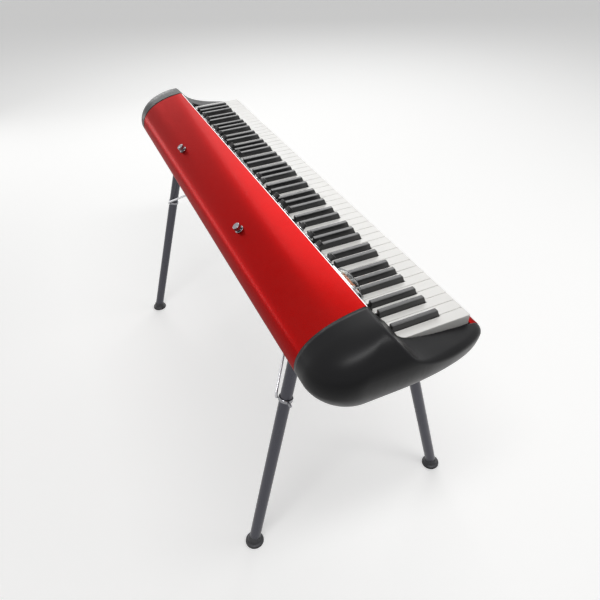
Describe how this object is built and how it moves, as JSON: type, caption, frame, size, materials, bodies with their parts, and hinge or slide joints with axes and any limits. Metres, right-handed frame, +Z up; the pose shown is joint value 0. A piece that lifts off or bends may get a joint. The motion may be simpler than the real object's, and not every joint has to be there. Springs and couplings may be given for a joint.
{
  "type": "stage piano",
  "caption": "Stage piano with a full keyboard, a sloping panel of knobs behind it, a curved glossy cover, rounded end caps and splayed tube legs with stay rods.",
  "frame": {"origin": "on the floor, midway between the four feet and under the middle of the keyboard", "axes": "+X towards the treble end along the keyboard, +Y towards the back with the sockets, +Z up"},
  "size_m": [1.356, 0.551, 0.719],
  "materials": {
    "case_steel": "satin black paint",
    "red_cover": "candy red metallic gloss",
    "cap_moulding": "satin black",
    "bright_trim": "satin",
    "panel_gloss": "polished black",
    "key_frame_metal": "bare folded sheet",
    "circuit_board": "green solder mask",
    "chrome_trim": "polished",
    "clear_glass": "clear",
    "tube_glass": "clear, lit amber from inside",
    "ceramic": "unglazed",
    "recess_moulding": "fine grain",
    "socket_metal": "plated sockets on a board",
    "switch_black": "gloss black",
    "button_grey": "pale grey, slightly clear",
    "white_key": "smooth, low gloss",
    "black_key": "satin black",
    "knob_black": "satin black",
    "leg_metal": "dark satin metal",
    "foot_rubber": "moulded",
    "rod_steel": "bright drawn rod"
  },
  "bodies": {
    "case_and_stand": {"bottom_case": "case_steel", "top_cover": "red_cover", "left_end_cap": "cap_moulding", "right_end_cap": "cap_moulding", "front_rail": "red_cover", "trim_strip": "bright_trim", "control_panel": "panel_gloss", "key_frame": "key_frame_metal", "contact_board": "circuit_board", "window_bezel": "chrome_trim", "window_glass": "clear_glass", "vacuum_tube": "tube_glass", "tube_socket": "ceramic", "jack_bezel": "chrome_trim", "jack_plate": "recess_moulding", "jack_board": "socket_metal", "power_inlet": "recess_moulding", "main_board": "circuit_board", "leg_left_front": "leg_metal", "leg_left_back": "leg_metal", "leg_right_front": "leg_metal", "leg_right_back": "leg_metal", "foot_left_front": "foot_rubber", "foot_left_back": "foot_rubber", "foot_right_front": "foot_rubber", "foot_right_back": "foot_rubber", "leg_rail_left": "case_steel", "leg_rail_right": "case_steel", "leg_clamp_left": "leg_metal", "leg_clamp_right": "leg_metal", "stay_rod_left": "rod_steel", "stay_rod_right": "rod_steel"},
    "white_key_bank_1": {"white_keys_1": "white_key"},
    "white_key_bank_2": {"white_keys_2": "white_key"},
    "white_key_bank_3": {"white_keys_3": "white_key"},
    "white_key_bank_4": {"white_keys_4": "white_key"},
    "black_key_bank_1": {"black_keys_1": "black_key"},
    "black_key_bank_2": {"black_keys_2": "black_key"},
    "black_key_bank_3": {"black_keys_3": "black_key"},
    "black_key_bank_4": {"black_keys_4": "black_key"},
    "button_row": {"favourite_buttons": "button_grey"},
    "rocker": {"power_switch": "switch_black"},
    "screw_left": {"thumb_screw_left": "chrome_trim"},
    "screw_right": {"thumb_screw_right": "chrome_trim"},
    "dial_01": {"knob_01": "knob_black"},
    "dial_02": {"knob_02": "knob_black"},
    "dial_03": {"knob_03": "knob_black"},
    "dial_04": {"knob_04": "knob_black"},
    "dial_05": {"knob_05": "knob_black"},
    "dial_06": {"knob_06": "knob_black"},
    "dial_07": {"knob_07": "knob_black"},
    "dial_08": {"knob_08": "knob_black"},
    "dial_09": {"knob_09": "knob_black"},
    "dial_10": {"knob_10": "knob_black"},
    "dial_11": {"knob_11": "knob_black"},
    "dial_12": {"knob_12": "knob_black"},
    "dial_13": {"knob_13": "knob_black"},
    "dial_14": {"knob_14": "knob_black"},
    "dial_15": {"knob_15": "knob_black"},
    "dial_16": {"knob_16": "knob_black"}
  },
  "joints": [
    {"name": "white_press_1", "type": "hinge", "parent": "case_and_stand", "child": "white_key_bank_1", "pos_m": [0, 0.026, 0.637], "axis": [1, 0, 0], "range_deg": [0, 3.08], "stiffness_Nm_per_rad": 5, "springref_deg": -28.65},
    {"name": "white_press_2", "type": "hinge", "parent": "case_and_stand", "child": "white_key_bank_2", "pos_m": [0, 0.026, 0.637], "axis": [1, 0, 0], "range_deg": [0, 3.08], "stiffness_Nm_per_rad": 5, "springref_deg": -22.92},
    {"name": "white_press_3", "type": "hinge", "parent": "case_and_stand", "child": "white_key_bank_3", "pos_m": [0, 0.026, 0.637], "axis": [1, 0, 0], "range_deg": [0, 3.08], "stiffness_Nm_per_rad": 5, "springref_deg": -22.92},
    {"name": "white_press_4", "type": "hinge", "parent": "case_and_stand", "child": "white_key_bank_4", "pos_m": [0, 0.026, 0.637], "axis": [1, 0, 0], "range_deg": [0, 3.08], "stiffness_Nm_per_rad": 3, "springref_deg": -22.92},
    {"name": "black_press_1", "type": "hinge", "parent": "case_and_stand", "child": "black_key_bank_1", "pos_m": [0, 0.026, 0.637], "axis": [1, 0, 0], "range_deg": [0, 3.08], "stiffness_Nm_per_rad": 2, "springref_deg": -22.92},
    {"name": "black_press_2", "type": "hinge", "parent": "case_and_stand", "child": "black_key_bank_2", "pos_m": [0, 0.026, 0.637], "axis": [1, 0, 0], "range_deg": [0, 3.08], "stiffness_Nm_per_rad": 2, "springref_deg": -22.92},
    {"name": "black_press_3", "type": "hinge", "parent": "case_and_stand", "child": "black_key_bank_3", "pos_m": [0, 0.026, 0.637], "axis": [1, 0, 0], "range_deg": [0, 3.08], "stiffness_Nm_per_rad": 2, "springref_deg": -22.92},
    {"name": "black_press_4", "type": "hinge", "parent": "case_and_stand", "child": "black_key_bank_4", "pos_m": [0, 0.026, 0.637], "axis": [1, 0, 0], "range_deg": [0, 3.08], "stiffness_Nm_per_rad": 1, "springref_deg": -22.92},
    {"name": "button_press", "type": "slide", "parent": "case_and_stand", "child": "button_row", "axis": [0, 0.8, -0.6], "range_m": [0, 0.0012], "stiffness_N_per_m": 200, "springref_m": -0.002},
    {"name": "rocker_tip", "type": "hinge", "parent": "case_and_stand", "child": "rocker", "pos_m": [0.395, 0.117, 0.596], "axis": [0, 0, 1], "range_deg": [0, 14]},
    {"name": "screw_turn_left", "type": "hinge", "parent": "case_and_stand", "child": "screw_left", "pos_m": [-0.219, 0.12397, 0.69258], "axis": [0, 0.5196, 0.8544], "continuous": true},
    {"name": "screw_turn_right", "type": "hinge", "parent": "case_and_stand", "child": "screw_right", "pos_m": [0.219, 0.12397, 0.69258], "axis": [0, 0.5196, 0.8544], "continuous": true},
    {"name": "dial_turn_01", "type": "hinge", "parent": "case_and_stand", "child": "dial_01", "pos_m": [-0.39898, 0.011, 0.693], "axis": [0, -0.8, 0.6], "range_deg": [-150, 150]},
    {"name": "dial_turn_02", "type": "hinge", "parent": "case_and_stand", "child": "dial_02", "pos_m": [-0.34803, 0.011, 0.693], "axis": [0, -0.8, 0.6], "range_deg": [-150, 150]},
    {"name": "dial_turn_03", "type": "hinge", "parent": "case_and_stand", "child": "dial_03", "pos_m": [-0.31002, 0.011, 0.693], "axis": [0, -0.8, 0.6], "range_deg": [-150, 150]},
    {"name": "dial_turn_04", "type": "hinge", "parent": "case_and_stand", "child": "dial_04", "pos_m": [-0.27299, 0.011, 0.693], "axis": [0, -0.8, 0.6], "range_deg": [-150, 150]},
    {"name": "dial_turn_05", "type": "hinge", "parent": "case_and_stand", "child": "dial_05", "pos_m": [-0.19894, 0.011, 0.693], "axis": [0, -0.8, 0.6], "range_deg": [-150, 150]},
    {"name": "dial_turn_06", "type": "hinge", "parent": "case_and_stand", "child": "dial_06", "pos_m": [-0.16595, 0.011, 0.693], "axis": [0, -0.8, 0.6], "range_deg": [-150, 150]},
    {"name": "dial_turn_07", "type": "hinge", "parent": "case_and_stand", "child": "dial_07", "pos_m": [-0.131, 0.011, 0.693], "axis": [0, -0.8, 0.6], "range_deg": [-150, 150]},
    {"name": "dial_turn_08", "type": "hinge", "parent": "case_and_stand", "child": "dial_08", "pos_m": [-0.05206, 0.011, 0.693], "axis": [0, -0.8, 0.6], "range_deg": [-150, 150]},
    {"name": "dial_turn_09", "type": "hinge", "parent": "case_and_stand", "child": "dial_09", "pos_m": [-0.02297, 0.011, 0.693], "axis": [0, -0.8, 0.6], "range_deg": [-150, 150]},
    {"name": "dial_turn_10", "type": "hinge", "parent": "case_and_stand", "child": "dial_10", "pos_m": [0.12098, 0.011, 0.693], "axis": [0, -0.8, 0.6], "range_deg": [-150, 150]},
    {"name": "dial_turn_11", "type": "hinge", "parent": "case_and_stand", "child": "dial_11", "pos_m": [0.17206, 0.011, 0.693], "axis": [0, -0.8, 0.6], "range_deg": [-150, 150]},
    {"name": "dial_turn_12", "type": "hinge", "parent": "case_and_stand", "child": "dial_12", "pos_m": [0.23206, 0.011, 0.693], "axis": [0, -0.8, 0.6], "range_deg": [-150, 150]},
    {"name": "dial_turn_13", "type": "hinge", "parent": "case_and_stand", "child": "dial_13", "pos_m": [0.26505, 0.011, 0.693], "axis": [0, -0.8, 0.6], "range_deg": [-150, 150]},
    {"name": "dial_turn_14", "type": "hinge", "parent": "case_and_stand", "child": "dial_14", "pos_m": [0.30196, 0.011, 0.693], "axis": [0, -0.8, 0.6], "range_deg": [-150, 150]},
    {"name": "dial_turn_15", "type": "hinge", "parent": "case_and_stand", "child": "dial_15", "pos_m": [0.382, 0.011, 0.693], "axis": [0, -0.8, 0.6], "range_deg": [-150, 150]},
    {"name": "dial_turn_16", "type": "hinge", "parent": "case_and_stand", "child": "dial_16", "pos_m": [0.41401, 0.011, 0.693], "axis": [0, -0.8, 0.6], "range_deg": [-150, 150]}
  ]
}
